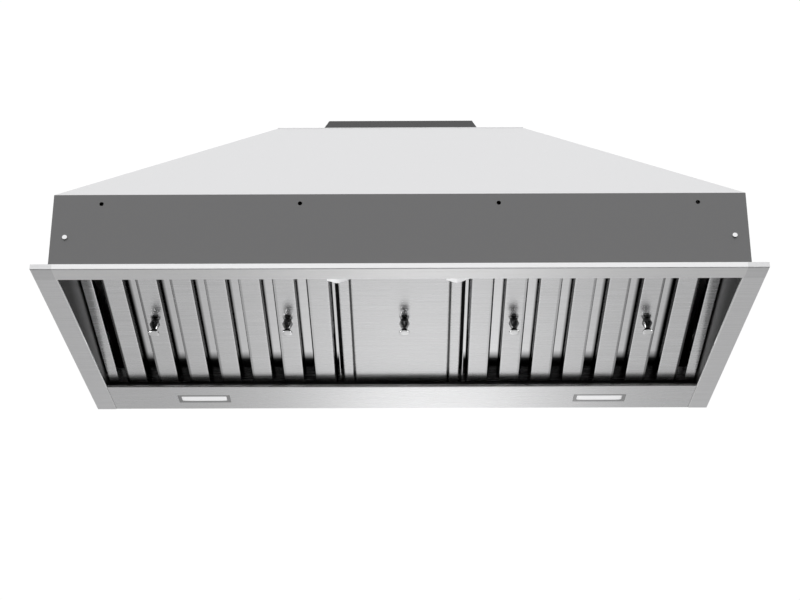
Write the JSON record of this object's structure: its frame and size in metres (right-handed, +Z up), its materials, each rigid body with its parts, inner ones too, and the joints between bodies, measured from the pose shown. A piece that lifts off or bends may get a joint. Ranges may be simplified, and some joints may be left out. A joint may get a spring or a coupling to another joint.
{
  "type": "range hood insert",
  "caption": "Sheet-steel hood insert for a cabinet: flanged rim, sloping baffle filters with pull knobs, plain centre panel, lamps, blower and tapered duct collar with dampers.",
  "frame": {"origin": "middle of the rim's underside, in the plane that shows from below", "axes": "+X along the hood's width, +Y from its front to its back, +Z up towards the duct"},
  "size_m": [0.876, 0.477, 0.333],
  "materials": {
    "brushed_steel": "brushed along the hood's length",
    "casing_steel": "plain mill finish, grey",
    "roof_steel": "plain mill finish, light",
    "cavity_steel": "satin",
    "filter_steel": "brushed across the slats",
    "chrome": "polished",
    "bright_zinc": "bright zinc plated",
    "galvanised_steel": "galvanised sheet",
    "fan_steel": "galvanised sheet",
    "motor_shell": "satin black",
    "shaft_steel": "ground",
    "collar_steel": "dark, satin",
    "damper_aluminium": "mill finish",
    "button_chrome": "satin",
    "button_plate_steel": "brushed",
    "black_plastic": "matt",
    "white_plastic": "matt",
    "lamp_bezel": "satin grey",
    "lamp_lens": "opal",
    "led_board": "white solder mask",
    "heat_sink": "cast",
    "capacitor_shell": "pale plastic"
  },
  "bodies": {
    "casing": {"back_panel": "casing_steel", "blower_left_side": "galvanised_steel", "blower_right_side": "galvanised_steel", "blower_scroll": "galvanised_steel", "button_plate": "button_plate_steel", "cable_gland": "black_plastic", "collar_screws": "bright_zinc", "corner_screws": "bright_zinc", "divider_rails": "cavity_steel", "duct_collar": "collar_steel", "front_channel": "cavity_steel", "front_ledge": "cavity_steel", "front_roof_slope": "roof_steel", "front_skirt": "casing_steel", "inlet_rings": "galvanised_steel", "lamp_bezels": "lamp_bezel", "lamp_heat_sinks": "heat_sink", "lamp_lenses": "lamp_lens", "led_boards": "led_board", "left_cavity_wall": "cavity_steel", "left_roof_slope": "roof_steel", "left_skirt": "casing_steel", "left_spring_clip": "chrome", "motor_bracket": "galvanised_steel", "motor_housing": "motor_shell", "motor_screws": "bright_zinc", "pivot_lugs": "cavity_steel", "rear_cavity_wall": "cavity_steel", "rear_lamp_strip": "brushed_steel", "right_cavity_wall": "cavity_steel", "right_roof_slope": "roof_steel", "right_skirt": "casing_steel", "right_spring_clip": "chrome", "rim_frame": "brushed_steel", "run_capacitor": "capacitor_shell", "switch_case": "black_plastic", "terminal_block": "white_plastic", "top_plate": "roof_steel", "wiring_box": "galvanised_steel", "wiring_box_cover": "galvanised_steel"},
    "left_filter": {"left_filter_frame": "filter_steel", "left_filter_front_baffles": "filter_steel", "left_filter_rear_baffles": "filter_steel", "left_filter_knobs": "chrome"},
    "right_filter": {"right_filter_frame": "filter_steel", "right_filter_front_baffles": "filter_steel", "right_filter_rear_baffles": "filter_steel", "right_filter_knobs": "chrome"},
    "center_panel": {"center_tray": "filter_steel", "center_plate": "filter_steel", "center_knob": "chrome"},
    "fan_wheel": {"impeller": "fan_steel", "motor_shaft": "shaft_steel"},
    "front_damper": {"front_damper_flap": "damper_aluminium"},
    "rear_damper": {"rear_damper_flap": "damper_aluminium"},
    "light_button": {"light_button": "button_chrome"},
    "off_button": {"off_button": "button_chrome"},
    "low_speed_button": {"low_speed_button": "button_chrome"},
    "medium_speed_button": {"medium_speed_button": "button_chrome"},
    "high_speed_button": {"high_speed_button": "button_chrome"}
  },
  "joints": [
    {"name": "left_filter_tilt", "type": "hinge", "parent": "casing", "child": "left_filter", "pos_m": [-0.246, 0.15151, 0.01986], "axis": [1, 0, 0], "range_deg": [0, 65], "deforming": ["left_spring_clip"]},
    {"name": "right_filter_tilt", "type": "hinge", "parent": "casing", "child": "right_filter", "pos_m": [0.246, 0.15151, 0.01986], "axis": [1, 0, 0], "range_deg": [0, 65], "deforming": ["right_spring_clip"]},
    {"name": "center_panel_tilt", "type": "hinge", "parent": "casing", "child": "center_panel", "pos_m": [0, 0.15151, 0.01986], "axis": [1, 0, 0], "range_deg": [0, 65], "deforming": ["left_spring_clip", "right_spring_clip"]},
    {"name": "fan_spin", "type": "hinge", "parent": "casing", "child": "fan_wheel", "pos_m": [0, -0.0085, 0.19], "axis": [1, 0, 0], "continuous": true},
    {"name": "front_damper_swing", "type": "hinge", "parent": "casing", "child": "front_damper", "pos_m": [0, 0.0625, 0.3048], "axis": [-1, 0, 0], "range_deg": [0, 80]},
    {"name": "rear_damper_swing", "type": "hinge", "parent": "casing", "child": "rear_damper", "pos_m": [0, 0.0705, 0.3048], "axis": [1, 0, 0], "range_deg": [0, 80]},
    {"name": "light_press", "type": "slide", "parent": "casing", "child": "light_button", "axis": [0, -1, 0], "range_m": [0, 0.0015], "stiffness_N_per_m": 500, "springref_m": -0.002},
    {"name": "off_press", "type": "slide", "parent": "casing", "child": "off_button", "axis": [0, -1, 0], "range_m": [0, 0.0015], "stiffness_N_per_m": 500, "springref_m": -0.002},
    {"name": "low_speed_press", "type": "slide", "parent": "casing", "child": "low_speed_button", "axis": [0, -1, 0], "range_m": [0, 0.0015], "stiffness_N_per_m": 500, "springref_m": -0.002},
    {"name": "medium_speed_press", "type": "slide", "parent": "casing", "child": "medium_speed_button", "axis": [0, -1, 0], "range_m": [0, 0.0015], "stiffness_N_per_m": 500, "springref_m": -0.002},
    {"name": "high_speed_press", "type": "slide", "parent": "casing", "child": "high_speed_button", "axis": [0, -1, 0], "range_m": [0, 0.0015], "stiffness_N_per_m": 500, "springref_m": -0.002}
  ]
}
